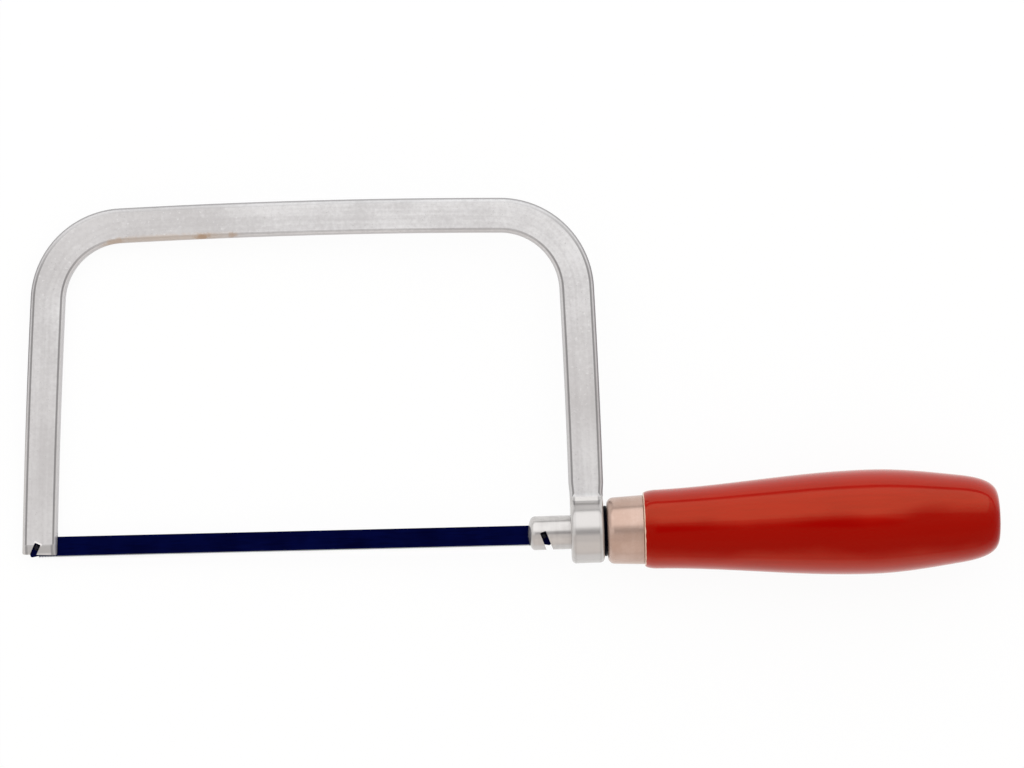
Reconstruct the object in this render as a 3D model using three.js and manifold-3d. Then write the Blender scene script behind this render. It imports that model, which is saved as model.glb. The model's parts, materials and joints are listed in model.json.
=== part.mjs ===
// Mini hacksaw: a sprung steel frame, a pinned blade, a sliding blade holder and a turned wooden
// handle whose nut draws the holder tight. All sizes are in millimetres.
// The saw is drawn about the middle of the frame's eye, with x along the screw towards the handle,
// y from the blade to the back of the frame and z square to the frame. It then lies down on its
// side, +Z up, on its front leg and the belly of the handle.

import * as THREE from 'three';
import { mergeVertices } from 'three/addons/utils/BufferGeometryUtils.js';
import Module from 'manifold-3d';

const wasm = await Module();
wasm.setup();

// Blade and its two pins
const pinSpacing = 145.5;
const bladePastPin = 2;
const bladeHeight = 5.9;
const bladeThickness = 0.65;
const bladeEndRadius = 0.8;
const teethPerInch = 32;
const toothDepth = 0.5;
const toothFaceLean = 0.06;
const teethEndMargin = 2.5;
const pinDiameter = 1.5;
const pinLength = 4.2;
const pinChamfer = 0.2;
const frontPinY = 0.93;
const rearPinY = -0.69;
const notchTopAbovePin = 1.2;

// Frame: a bar bent into a U, each run bowed a little by the pull of the blade (angles in degrees)
const barWidth = 10;
const barThickness = 4.3;
const edgeRadius = 1.4;
const cornerRadius = 22;
const frameHeight = 92.4;
const frontLegFootLean = 3.0;
const frontLegTopLean = 4.7;
const backFrontRise = 1.2;
const backRearFall = 2.0;
const rearLegTopLean = 1.3;
const footBelowPin = 2.15;
const frontPinOffCentre = 0.7;
const footFaceRadius = 0.2;
const footTaperLength = 2.8;
const footTaperDepth = 0.45;
const frontSlitAboveBlade = 1;
const frontNotchSlant = 26.5;

// Eye at the foot of the rear leg
const eyeWidth = 9.5;
const eyeWall = 4.1;
const neckFillet = 3.5;
const boreChamfer = 0.5;

// Blade holder and its threaded tail
const holderDiameter = 9.7;
const pinAheadOfEye = 7.75;
const holderNoseReach = 4.55;
const noseRoundLength = 1.1;
const noseRoundDepth = 2.3;
const rearNotchSlant = 19.5;
const slitReleaseRun = 3.6;
const shoulderSetback = 1.5;
const threadDiameter = 6;
const threadPitch = 1;
const threadDepth = 0.61;
const threadReliefLength = 1.6;
const threadLeadIn = 0.7;
const releaseTravel = 6;
const tailPointLength = 1.6;
const tailPointChamfer = 0.6;
const threadRootFlat = 1 / 4;
const threadCrestFlat = 1 / 8;

// Washer, ferrule and nut
const washerDiameter = 14.5;
const washerThickness = 0.7;
const ferruleLength = 10.45;
const ferruleNoseDiameter = 18.9;
const ferruleRearDiameter = 19.9;
const ferruleNoseRadius = 2;
const ferruleWall = 0.9;
const ferruleEndWall = 1.2;
const nutAcrossFlats = 10;
const nutThickness = 5;
const nutChamfer = 0.6;

// Handle, measured along the axis from the shoulder that meets the ferrule
const shoulderStep = 0.4;
const neckDiameter = 22.7;
const bellyDiameter = 30.1;
const taperDiameter = 25.2;
const buttDiameter = 13;
const neckFromShoulder = 4.2;
const bellyFromShoulder = 64.8;
const taperFromShoulder = 90.8;
const handleLength = 101.8;
const neckSlope = 0.025;
const taperSlope = -0.136;
const curvePull = 0.35;
const buttPull = 0.6;
const buttRoundLength = 0.35;
const buttRoundHeight = 3.6;
const tailBoreEndGap = 2;

// Clearances, each on one side
const slideClearance = 0.1;
const slitClearance = 0.15;
const notchClearance = 0.15;
const pinFit = 0.05;
const threadClearance = 0.15;
const holeClearance = 0.25;
const pocketClearance = 0.15;
const stackGap = 0.1;

// Facets
const roundSides = 36;
const pinSides = 20;
const threadSides = 16;
const bevelSteps = 3;
const runSteps = 4;
const cornerSteps = 12;
const profileSteps = 7;
const cutOverrun = 3;

const inch = 25.4;
const degrees = THREE.MathUtils.degToRad;

// Places along the screw axis, from the holder's nose to the end of its tail
const halfEye = eyeWidth / 2;
const rearPinX = -halfEye - pinAheadOfEye;
const noseX = rearPinX - holderNoseReach;
const holderShoulderX = halfEye - shoulderSetback;
const threadX = holderShoulderX + threadReliefLength;
const washerX = halfEye + stackGap;
const ferruleX = washerX + washerThickness + stackGap;
const nutX = ferruleX + ferruleEndWall + stackGap;
const shoulderX = ferruleX + ferruleLength + stackGap;
const threadEndX = nutX + nutThickness + releaseTravel + 2 * threadLeadIn;
const tailEndX = threadEndX + tailPointLength;

// The blade hangs between its pins, a little lower at the handle
const bladeTilt = Math.asin((rearPinY - frontPinY) / pinSpacing);
const frontPinX = rearPinX - pinSpacing * Math.cos(bladeTilt);
const bladeLength = pinSpacing + 2 * bladePastPin;

const footCornerRadius = edgeRadius + footFaceRadius;
const holderRadius = holderDiameter / 2;
const boreRadius = holderRadius + slideClearance;
const eyeRadius = boreRadius + eyeWall;
const shoulderRadius = ferruleRearDiameter / 2 + shoulderStep;
const pinRadius = pinDiameter / 2;
const threadRadius = threadDiameter / 2;
const threadRoot = threadRadius - threadDepth;
const tailHoleRadius = threadRadius + holeClearance;
const slitWidth = bladeThickness + 2 * slitClearance;

const metal = (color, roughness) => new THREE.MeshStandardMaterial({ color, roughness, metalness: 0.9 });
const satinSteel = metal(0xc9cbcc, 0.38);
const pinSteel = metal(0x8d8f92, 0.4);
const ferruleMetal = metal(0xc8aa9b, 0.35);
const zincSteel = metal(0xb9bcc0, 0.4);
const bladeSteel = new THREE.MeshStandardMaterial({ color: 0x10131f, roughness: 0.45, metalness: 0.5 });
const blackSteel = new THREE.MeshStandardMaterial({ color: 0x121214, roughness: 0.6, metalness: 0.3 });
const redLacquer = new THREE.MeshStandardMaterial({ color: 0xa01408, roughness: 0.22, metalness: 0 });

// A closed geometry as a solid that can be joined and cut
function solid(geometry) {
  const bare = geometry.clone();
  bare.deleteAttribute('normal');
  bare.deleteAttribute('uv');
  const merged = mergeVertices(bare);
  const corners = merged.index.array;
  const triVerts = [];
  for (let i = 0; i < corners.length; i += 3) {
    const [a, b, c] = corners.slice(i, i + 3);
    if (a !== b && b !== c && c !== a) triVerts.push(a, b, c);
  }
  return new wasm.Manifold(
    new wasm.Mesh({
      numProp: 3,
      vertProperties: Float32Array.from(merged.attributes.position.array),
      triVerts: Uint32Array.from(triVerts),
    }),
  );
}

// A named piece made of a solid
function piece(name, shape, material) {
  const { vertProperties, triVerts } = shape.getMesh();
  const geometry = new THREE.BufferGeometry();
  geometry.setAttribute('position', new THREE.BufferAttribute(vertProperties, 3));
  geometry.setIndex(new THREE.BufferAttribute(triVerts, 1));
  geometry.computeVertexNormals();
  const mesh = new THREE.Mesh(geometry, material);
  mesh.name = name;
  return mesh;
}

const shapeOf = (points) => new THREE.Shape(points.map(([x, y]) => new THREE.Vector2(x, y)));

// A body turned about the x axis from [x, radius] points, its outer side running towards +x
function turned(profile, sides = roundSides) {
  const points = profile.map(([x, radius]) => new THREE.Vector2(radius, x));
  return new THREE.LatheGeometry(points, sides).rotateZ(-Math.PI / 2);
}

// A flat outline given thickness about z = 0, with its edges rounded by the bevel
function plate(outline, thickness, bevel = 0) {
  const geometry = new THREE.ExtrudeGeometry(outline, {
    depth: thickness - 2 * bevel,
    bevelEnabled: bevel > 0,
    bevelThickness: bevel,
    bevelSize: bevel,
    bevelOffset: -bevel,
    bevelSegments: bevelSteps,
    curveSegments: pinSides / 2,
  });
  return geometry.translate(0, 0, bevel - thickness / 2);
}

// Points along an arc, its angles in degrees and its radius given along both axes
function arcPoints([x, y], [xRadius, yRadius], fromAngle, toAngle, steps) {
  return Array.from({ length: steps + 1 }, (_, i) => {
    const angle = degrees(fromAngle + ((toAngle - fromAngle) * i) / steps);
    return [x + xRadius * Math.cos(angle), y + yRadius * Math.sin(angle)];
  });
}

// One stretch of the bar's middle line, turning clockwise from one heading to another
function stretch([x, y], [fromHeading, toHeading], radius, steps) {
  const [start, end] = [degrees(fromHeading), degrees(toHeading)];
  const centre = [x + radius * Math.sin(start), y - radius * Math.cos(start)];
  const finish = [centre[0] - radius * Math.sin(end), centre[1] + radius * Math.cos(end)];
  return { centre, radius, fromHeading, toHeading, finish, steps };
}

// The bar's middle line from the foot of the front leg over the back to the neck above the eye.
// The headings and corners are given, and the bow radius of each run follows from where it must end.
function barLine(foot, neck) {
  const frontLeg = [90 - frontLegFootLean, 90 - frontLegTopLean];
  const back = [backFrontRise, -backRearFall];
  const rearLeg = [rearLegTopLean - 90, -90];
  const frontCorner = [frontLeg[1], back[0]];
  const rearCorner = [back[1], rearLeg[0]];
  const reach = (headings, radius) => stretch([0, 0], headings, radius, 1).finish;
  const [legX, legY] = reach(frontLeg, 1);
  const [backX, backY] = reach(back, 1);
  const [rearX, rearY] = reach(rearLeg, 1);
  const [frontCornerX, frontCornerY] = reach(frontCorner, cornerRadius);
  const [rearCornerX, rearCornerY] = reach(rearCorner, cornerRadius);
  const legBow = (frameHeight - foot[1] - frontCornerY) / legY;
  const acrossX = neck[0] - foot[0] - legBow * legX - frontCornerX - rearCornerX;
  const acrossY = neck[1] - frameHeight - rearCornerY;
  const turn = backX * rearY - backY * rearX;
  const backBow = (acrossX * rearY - acrossY * rearX) / turn;
  const rearBow = (backX * acrossY - backY * acrossX) / turn;
  const line = [stretch(foot, frontLeg, legBow, runSteps)];
  const extend = (headings, radius, steps) => line.push(stretch(line.at(-1).finish, headings, radius, steps));
  extend(frontCorner, cornerRadius, cornerSteps);
  extend(back, backBow, runSteps);
  extend(rearCorner, cornerRadius, cornerSteps);
  extend(rearLeg, rearBow, runSteps);
  return line;
}

// One edge of the bar, offset outwards from its middle line, each stretch without its first point
function barEdge(line, offset) {
  return line.flatMap(({ centre, radius, fromHeading, toHeading, steps }) => {
    const reach = radius + offset;
    return arcPoints(centre, [reach, reach], fromHeading + 90, toHeading + 90, steps).slice(1);
  });
}

// The rounded end of the front leg, from its inner edge to its outer edge
function footCorners(foot) {
  const heading = 90 - frontLegFootLean;
  const along = [Math.cos(degrees(heading)), Math.sin(degrees(heading))];
  const corner = (side, fromAngle) => {
    const across = side * (barWidth / 2 - footCornerRadius);
    const x = foot[0] - across * along[1] + footCornerRadius * along[0];
    const y = foot[1] + across * along[0] + footCornerRadius * along[1];
    return arcPoints([x, y], [footCornerRadius, footCornerRadius], fromAngle, fromAngle - 90, bevelSteps);
  };
  return [...corner(-1, heading + 270), ...corner(1, heading + 180)];
}

// The eye and the neck that flares into it, as seen along the screw axis
function eyeAndNeck(neckTopY, filletX, filletY) {
  const meet = THREE.MathUtils.radToDeg(Math.atan2(filletY, filletX));
  const flare = arcPoints([filletX, filletY], [neckFillet, neckFillet], 180, 180 + meet, bevelSteps + 1);
  const right = [[barThickness / 2, neckTopY], ...flare];
  const ring = arcPoints([0, 0], [eyeRadius, eyeRadius], meet, -180 - meet, roundSides).slice(1, -1);
  const left = right.map(([x, y]) => [-x, y]).reverse();
  return plate(shapeOf([...right, ...ring, ...left]), eyeWidth, edgeRadius).rotateY(Math.PI / 2);
}

// A slanted flat-topped notch, open downwards, whose wall lies against the pin on the side that it is pulled to
function pinNotch([pinX, pinY], slant, pull, run, depth) {
  const width = pinDiameter + 2 * notchClearance;
  const box = new THREE.BoxGeometry(width, notchTopAbovePin + run, depth);
  const offset = pull * (notchClearance - pinFit);
  box.translate(0, (notchTopAbovePin - run) / 2, 0).rotateZ(degrees(slant));
  return solid(box.translate(pinX - offset, pinY, 0));
}

// A saw cut in the plane of the blade
function slit(fromX, toX, fromY, toY) {
  const box = new THREE.BoxGeometry(toX - fromX, toY - fromY, slitWidth);
  return solid(box.translate((fromX + toX) / 2, (fromY + toY) / 2, 0));
}

// The wedge that thins one face of the front leg towards its end
function footTaper(foot, side) {
  const face = barThickness / 2;
  const drop = cutOverrun / footTaperLength;
  const wedge = shapeOf([
    [side * face, footTaperLength],
    [side * (face - footTaperDepth * (1 + drop)), -cutOverrun],
    [side * (face + cutOverrun), -cutOverrun],
    [side * (face + cutOverrun), footTaperLength],
  ]);
  const cut = plate(wedge, barWidth + 2 * cutOverrun).rotateY(-Math.PI / 2);
  return solid(cut.rotateZ(degrees(-frontLegFootLean)).translate(foot[0], foot[1], 0));
}

function frame() {
  const foot = [frontPinX + frontPinOffCentre, frontPinY - footBelowPin];
  const filletX = barThickness / 2 + neckFillet;
  const filletY = Math.sqrt((eyeRadius + neckFillet) ** 2 - filletX ** 2);
  const neckTopY = filletY + 2 * edgeRadius;
  const wallMiddle = (eyeRadius + holderRadius) / 2;
  const line = barLine(foot, [0, neckTopY]);
  const outline = [
    ...footCorners(foot),
    ...barEdge(line, barWidth / 2),
    [halfEye, wallMiddle],
    [-halfEye, wallMiddle],
    ...barEdge(line, -barWidth / 2).reverse(),
  ];
  const mouth = boreRadius + boreChamfer + cutOverrun;
  const bore = turned([
    [-halfEye - cutOverrun, 0],
    [-halfEye - cutOverrun, mouth],
    [boreChamfer - halfEye, boreRadius],
    [halfEye - boreChamfer, boreRadius],
    [halfEye + cutOverrun, mouth],
    [halfEye + cutOverrun, 0],
  ]);
  const slitTop = frontPinY + bladeHeight / 2 + frontSlitAboveBlade;
  const notchRun = footBelowPin + cutOverrun;
  return solid(plate(shapeOf(outline), barThickness, edgeRadius))
    .add(solid(eyeAndNeck(neckTopY, filletX, filletY)))
    .subtract(solid(bore))
    .subtract(footTaper(foot, 1))
    .subtract(footTaper(foot, -1))
    .subtract(slit(foot[0] - barWidth, foot[0] + barWidth, foot[1] - cutOverrun, slitTop))
    .subtract(pinNotch([frontPinX, frontPinY], -frontNotchSlant, 1, notchRun, barThickness + cutOverrun));
}

// The toothed blade, drawn from its front pin towards its rear pin, the cutting faces to the front
function blade() {
  const half = bladeHeight / 2;
  const [front, rear] = [-bladePastPin, pinSpacing + bladePastPin];
  const toothPitch = inch / teethPerInch;
  const count = Math.floor((bladeLength - 2 * teethEndMargin) / toothPitch);
  const firstTooth = (front + rear - count * toothPitch) / 2;
  const round = (x, y, angle) => arcPoints([x, y], [bladeEndRadius, bladeEndRadius], angle, angle + 90, bevelSteps);
  const outline = [...round(front + bladeEndRadius, bladeEndRadius - half, 180)];
  for (let i = 0; i < count; i += 1) {
    const x = firstTooth + i * toothPitch;
    outline.push([x, toothDepth - half], [x + toothFaceLean, -half]);
  }
  outline.push([firstTooth + count * toothPitch, toothDepth - half]);
  outline.push(...round(rear - bladeEndRadius, bladeEndRadius - half, 270));
  outline.push(...round(rear - bladeEndRadius, half - bladeEndRadius, 0));
  outline.push(...round(front + bladeEndRadius, half - bladeEndRadius, 90));
  const shape = shapeOf(outline);
  for (const x of [0, pinSpacing]) {
    const hole = new THREE.Path();
    hole.absarc(x, 0, pinRadius + pinFit, 0, 2 * Math.PI, false);
    shape.holes.push(hole);
  }
  return solid(plate(shape, bladeThickness));
}

function bladePin() {
  const half = pinLength / 2;
  const profile = [
    [-half, 0],
    [-half, pinRadius - pinChamfer],
    [pinChamfer - half, pinRadius],
    [half - pinChamfer, pinRadius],
    [half, pinRadius - pinChamfer],
    [half, 0],
  ];
  return solid(turned(profile, pinSides).rotateY(Math.PI / 2));
}

// A single-start right-hand thread about x, solid to the axis and ragged for a pitch at both ends
function threadBlank(fromX, toX, rootRadius, crestRadius) {
  const flank = (1 - threadRootFlat - threadCrestFlat) / 2;
  const ridge = [
    [0, rootRadius],
    [threadRootFlat, rootRadius],
    [threadRootFlat + flank, crestRadius],
    [1 - flank, crestRadius],
  ];
  const steps = Math.ceil(((toX - fromX) / threadPitch) * threadSides);
  const at = (i, j) => (j < ridge.length ? i * ridge.length + j : (i + threadSides) * ridge.length);
  const positions = [];
  for (let i = 0; i <= steps + threadSides; i += 1) {
    const angle = (2 * Math.PI * (i % threadSides)) / threadSides;
    for (const [share, radius] of ridge) {
      const x = fromX + threadPitch * (i / threadSides + share);
      positions.push(x, radius * Math.cos(angle), radius * Math.sin(angle));
    }
  }
  const faces = [];
  for (let i = 0; i < steps; i += 1) {
    for (let j = 0; j < ridge.length; j += 1) {
      faces.push(at(i, j), at(i + 1, j + 1), at(i, j + 1));
      faces.push(at(i, j), at(i + 1, j), at(i + 1, j + 1));
    }
  }
  // Each end closes onto the axis: its rim runs once round the helix and back along the ridge
  const close = (start, axisX, facesForward) => {
    const centre = positions.length / 3;
    positions.push(axisX, 0, 0);
    const turn = Array.from({ length: threadSides }, (_, k) => at(start + k, 0));
    const back = Array.from({ length: ridge.length }, (_, k) => at(start, ridge.length - k));
    const rim = [...turn, ...back];
    rim.forEach((point, k) => {
      const next = rim[(k + 1) % rim.length];
      faces.push(...(facesForward ? [point, next, centre] : [next, point, centre]));
    });
  };
  close(0, fromX - threadPitch, false);
  close(steps, toX + 3 * threadPitch, true);
  const geometry = new THREE.BufferGeometry();
  geometry.setAttribute('position', new THREE.Float32BufferAttribute(positions, 3));
  geometry.setIndex(faces);
  return solid(geometry);
}

function bladeHolder() {
  const noseRound = arcPoints(
    [noseX + noseRoundLength, holderRadius - noseRoundDepth],
    [noseRoundLength, noseRoundDepth],
    180,
    90,
    bevelSteps + 1,
  );
  const core = threadRoot - threadClearance;
  const body = turned([
    [noseX, 0],
    ...noseRound,
    [holderShoulderX, holderRadius],
    [holderShoulderX, core],
    [tailEndX - tailPointChamfer, core],
    [tailEndX, core - tailPointChamfer],
    [tailEndX, 0],
  ]);
  const threadEnvelope = turned([
    [threadX, 0],
    [threadX, threadRoot],
    [threadX + threadLeadIn, threadRadius + threadClearance],
    [threadEndX - threadLeadIn, threadRadius + threadClearance],
    [threadEndX, threadRoot],
    [threadEndX, 0],
  ]);
  const thread = threadBlank(threadX - 2 * threadPitch, threadEndX + threadPitch, threadRoot, threadRadius);
  const slitEnd = rearPinX + bladePastPin + slitReleaseRun;
  const reach = holderRadius + cutOverrun;
  return solid(body)
    .add(thread.intersect(solid(threadEnvelope)))
    .subtract(slit(noseX - cutOverrun, slitEnd, -reach, reach))
    .subtract(pinNotch([rearPinX, rearPinY], rearNotchSlant, -1, 2 * reach, 2 * reach));
}

function thrustWasher() {
  const outer = washerDiameter / 2;
  return solid(
    turned([
      [washerX, tailHoleRadius],
      [washerX, outer],
      [washerX + washerThickness, outer],
      [washerX + washerThickness, tailHoleRadius],
      [washerX, tailHoleRadius],
    ]),
  );
}

// Outer radius of the ferrule, which widens a little towards the handle
const ferruleRadius = (x) => {
  const share = (x - ferruleX) / ferruleLength;
  return THREE.MathUtils.lerp(ferruleNoseDiameter, ferruleRearDiameter, share) / 2;
};

function ferrule() {
  const roundEndX = ferruleX + ferruleNoseRadius;
  const roundCentre = [roundEndX, ferruleRadius(roundEndX) - ferruleNoseRadius];
  const rearX = ferruleX + ferruleLength;
  const wallX = ferruleX + ferruleEndWall;
  const nose = arcPoints(roundCentre, [ferruleNoseRadius, ferruleNoseRadius], 180, 90, bevelSteps + 1);
  const innerRound = ferruleNoseRadius - ferruleWall;
  const innerCentre = [wallX + innerRound, ferruleRadius(roundEndX) - ferruleWall - innerRound];
  const inside = arcPoints(innerCentre, [innerRound, innerRound], 90, 180, bevelSteps);
  return solid(
    turned([
      [ferruleX, tailHoleRadius],
      ...nose,
      [rearX, ferruleRadius(rearX)],
      [rearX, ferruleRadius(rearX) - ferruleWall],
      ...inside,
      [wallX, tailHoleRadius],
      [ferruleX, tailHoleRadius],
    ]),
  );
}

// A hexagonal bar along x
function hexBar(acrossFlats, fromX, toX) {
  const corners = arcPoints([0, 0], [acrossFlats / Math.sqrt(3), acrossFlats / Math.sqrt(3)], 0, 300, 5);
  const bar = plate(shapeOf(corners), toX - fromX).rotateY(Math.PI / 2);
  return solid(bar.translate((fromX + toX) / 2, 0, 0));
}

function tensionNut() {
  const endX = nutX + nutThickness;
  const [flat, corner] = [nutAcrossFlats / 2, nutAcrossFlats / Math.sqrt(3)];
  const chamfered = turned([
    [nutX, 0],
    [nutX, flat],
    [nutX + nutChamfer, corner],
    [endX - nutChamfer, corner],
    [endX, flat],
    [endX, 0],
  ]);
  const mouth = threadRadius + threadClearance + nutChamfer;
  const countersinks = [
    turned([[nutX - nutChamfer, 0], [nutX - nutChamfer, mouth + nutChamfer], [nutX + mouth, 0]]),
    turned([[endX - mouth, 0], [endX + nutChamfer, mouth + nutChamfer], [endX + nutChamfer, 0]]),
  ];
  // The nut's thread is the tail's thread with room round it, a whole number of pitches along
  const pitchesBefore = Math.floor((nutX - threadX) / threadPitch) - 2;
  const threadStart = threadX + pitchesBefore * threadPitch;
  const [root, crest] = [threadRoot + threadClearance, threadRadius + threadClearance];
  const hole = threadBlank(threadStart, endX + threadPitch, root, crest);
  return countersinks.reduce(
    (nut, sink) => nut.subtract(solid(sink)),
    hexBar(nutAcrossFlats, nutX, endX).intersect(solid(chamfered)).subtract(hole),
  );
}

// A fair curve of a turned profile between two [x, radius] points with the slopes given at its ends
function fairCurve(from, to, fromSlope, toSlope) {
  const pull = curvePull * (to[0] - from[0]);
  const corners = [from, [from[0] + pull, from[1] + pull * fromSlope], [to[0] - pull, to[1] - pull * toSlope], to];
  return bezierPoints(corners);
}

function bezierPoints(corners) {
  const curve = new THREE.CubicBezierCurve(...corners.map(([x, y]) => new THREE.Vector2(x, y)));
  return curve.getPoints(profileSteps).map(({ x, y }) => [x, y]);
}

// The outside of the grip: a rounded shoulder, a slim neck, the belly, a taper and the round butt
function gripProfile() {
  const at = (distance, diameter) => [shoulderX + distance, diameter / 2];
  const neck = at(neckFromShoulder, neckDiameter);
  const belly = at(bellyFromShoulder, bellyDiameter);
  const taper = at(taperFromShoulder, taperDiameter);
  const butt = at(handleLength, buttDiameter);
  const shoulderRound = [neckFromShoulder, neck[1] - shoulderRadius];
  const shoulder = arcPoints([neck[0], shoulderRadius], shoulderRound, 180, 90, bevelSteps + 1);
  const pull = buttPull * (butt[0] - taper[0]);
  const end = bezierPoints([
    taper,
    [taper[0] + pull, taper[1] + pull * taperSlope],
    [butt[0] - buttRoundLength, butt[1] + buttRoundHeight],
    butt,
  ]);
  return [
    ...shoulder.slice(0, -1),
    ...fairCurve(neck, belly, neckSlope, 0).slice(0, -1),
    ...fairCurve(belly, taper, 0, taperSlope).slice(0, -1),
    ...end,
  ];
}

function handle(grip) {
  const rearX = shoulderX - stackGap;
  const innerRound = ferruleNoseRadius - ferruleWall;
  const tenonRadius = (x) => ferruleRadius(x) - ferruleWall - slideClearance;
  const roundEndX = nutX + innerRound;
  const tenonNose = [roundEndX, tenonRadius(roundEndX) - innerRound];
  const body = turned([
    [nutX, 0],
    ...arcPoints(tenonNose, [innerRound, innerRound], 180, 90, bevelSteps),
    [rearX, tenonRadius(rearX)],
    [shoulderX, tenonRadius(rearX)],
    ...grip,
    [shoulderX + handleLength, 0],
  ]);
  const pocketEndX = nutX + nutThickness + stackGap;
  const boreEndX = tailEndX + tailBoreEndGap;
  const bore = turned([
    [nutX - cutOverrun, 0],
    [nutX - cutOverrun, tailHoleRadius],
    [boreEndX, tailHoleRadius],
    [boreEndX + tailHoleRadius / 2, 0],
  ]);
  return solid(body)
    .subtract(hexBar(nutAcrossFlats + 2 * pocketClearance, nutX - cutOverrun, pocketEndX))
    .subtract(solid(bore));
}

// The blade with its pins, hung between the front leg and the holder
const bladeSet = new THREE.Group();
const pins = [piece('blade_pin_front', bladePin(), pinSteel), piece('blade_pin_rear', bladePin(), pinSteel)];
pins[1].position.x = pinSpacing;
bladeSet.add(piece('blade', blade(), bladeSteel), ...pins);
bladeSet.position.set(frontPinX, frontPinY, 0);
bladeSet.rotation.z = bladeTilt;

const grip = gripProfile();
const saw = new THREE.Group();
saw.add(
  piece('frame', frame(), satinSteel),
  bladeSet,
  piece('blade_holder', bladeHolder(), satinSteel),
  piece('thrust_washer', thrustWasher(), blackSteel),
  piece('ferrule', ferrule(), ferruleMetal),
  piece('tension_nut', tensionNut(), zincSteel),
  piece('handle', handle(grip), redLacquer),
);

// Laid on its side, the saw leans until the front leg and the grip both touch the bench
const footX = frontPinX + frontPinOffCentre - barWidth / 2 + edgeRadius;
const lieAngle = Math.max(...grip.map(([x, radius]) => Math.atan2(radius - barThickness / 2, x - footX)));
saw.rotation.y = -lieAngle;

// The origin is on the bench, below the middle of the saw
const box = new THREE.Box3().setFromObject(saw, true);
const middle = box.getCenter(new THREE.Vector3());
saw.position.set(-middle.x, -middle.y, -box.min.z);

const miniHacksaw = new THREE.Group();
miniHacksaw.add(saw);

export default miniHacksaw;
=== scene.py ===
import json
import math
import bmesh
import bpy
from mathutils import Matrix, Vector
from mathutils.geometry import interpolate_bezier


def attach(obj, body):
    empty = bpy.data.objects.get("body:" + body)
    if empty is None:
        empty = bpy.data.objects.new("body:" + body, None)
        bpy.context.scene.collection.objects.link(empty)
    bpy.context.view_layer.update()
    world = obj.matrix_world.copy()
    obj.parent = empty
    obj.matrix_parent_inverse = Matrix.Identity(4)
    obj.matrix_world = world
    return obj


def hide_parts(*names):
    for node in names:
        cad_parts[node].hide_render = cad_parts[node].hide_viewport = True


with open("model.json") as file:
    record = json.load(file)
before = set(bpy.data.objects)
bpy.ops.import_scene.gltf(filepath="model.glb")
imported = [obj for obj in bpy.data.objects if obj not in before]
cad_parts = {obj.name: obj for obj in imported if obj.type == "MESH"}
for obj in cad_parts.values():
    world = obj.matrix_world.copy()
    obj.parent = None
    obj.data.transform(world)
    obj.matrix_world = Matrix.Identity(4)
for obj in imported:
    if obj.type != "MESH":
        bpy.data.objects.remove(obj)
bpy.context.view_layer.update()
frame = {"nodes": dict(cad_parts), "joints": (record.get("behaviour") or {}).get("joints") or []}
print("frame loaded:", ", ".join(sorted(frame["nodes"])))

# The saw is drawn in millimetres about the middle of the frame's eye: x along the screw to the
# handle, y from the blade to the back of the frame, z square to the frame. bench lays it down.
screw = next(j for j in frame["joints"] if j["name"] == "handle_turn")
eyeCentre = Vector(screw["pos_m"])
lieAngle = math.atan2(screw["axis"][2], screw["axis"][0])
millimetre = 0.001
bench = (Matrix.Translation(eyeCentre) @ Matrix.Rotation(-lieAngle, 4, "Y")
         @ Matrix.Scale(millimetre, 4))

# places that more than one piece needs
saw = {
    "frontPin": (-157.991, 0.93),
    "rearPin": (-12.5, -0.69),
    "pinRadius": 0.75,
    "slitWidth": 0.95,
    "notchWidth": 1.8,
    "notchTop": 1.2,
    "notchCorner": 0.25,
    "notchPlay": 0.1,       # the pin lies against one wall of its notch
    "tailHole": 3.25,
    "weld": 0.004,
    "slack": 0.01,          # two places this close are one
    "pinSides": 48,
}


def clearSelection():
    if bpy.context.mode != "OBJECT":
        bpy.ops.object.mode_set(mode="OBJECT")
    bpy.ops.object.select_all(action="DESELECT")


def work(piece, mode="OBJECT"):       # makes one piece the active one
    clearSelection()
    bpy.context.view_layer.objects.active = piece
    piece.select_set(True)
    bpy.ops.object.mode_set(mode=mode)
    if mode == "EDIT":
        bpy.ops.mesh.select_mode(type="VERT")
    return piece


def pick(kind, test):                 # selects by place, in edit mode
    bpy.ops.mesh.select_mode(type=kind)
    bpy.ops.mesh.select_all(action="DESELECT")
    shape = bmesh.from_edit_mesh(bpy.context.edit_object.data)
    parts = {"VERT": shape.verts, "EDGE": shape.edges, "FACE": shape.faces}[kind]
    for part in parts:
        part.select_set(bool(test(part)))
    shape.select_flush_mode()
    bmesh.update_edit_mesh(bpy.context.edit_object.data)


def near(value, target):
    return abs(value - target) < saw["slack"]


def apply(piece, kind, **settings):   # adds one modifier and applies it
    work(piece)
    modifier = piece.modifiers.new(kind.lower(), kind)
    for name, value in settings.items():
        setattr(modifier, name, value)
    bpy.ops.object.modifier_apply(modifier=modifier.name)


def cutAway(piece, cutter):
    work(cutter)
    apply(piece, "BOOLEAN", object=cutter, operation="DIFFERENCE", solver="EXACT")
    bpy.data.objects.remove(cutter)


def selectAll():                      # this and the next two work in edit mode
    bpy.ops.mesh.select_all(action="SELECT")


def extrude(way):
    bpy.ops.mesh.extrude_region_move(TRANSFORM_OT_translate={"value": way})


def weldUp(reach=saw["weld"]):
    selectAll()
    bpy.ops.mesh.remove_doubles(threshold=reach)
    bpy.ops.mesh.normals_make_consistent(inside=False)


def settle():                         # the active piece's place, turn and size go into its mesh
    bpy.ops.object.transform_apply(location=True, rotation=True, scale=True)


def addShape(name, kind, stretch=(1, 1, 1), **settings):   # a primitive
    clearSelection()
    getattr(bpy.ops.mesh, "primitive_" + kind + "_add")(**settings)
    piece = bpy.context.object
    piece.name = name
    piece.scale = stretch
    settle()
    return piece


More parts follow.
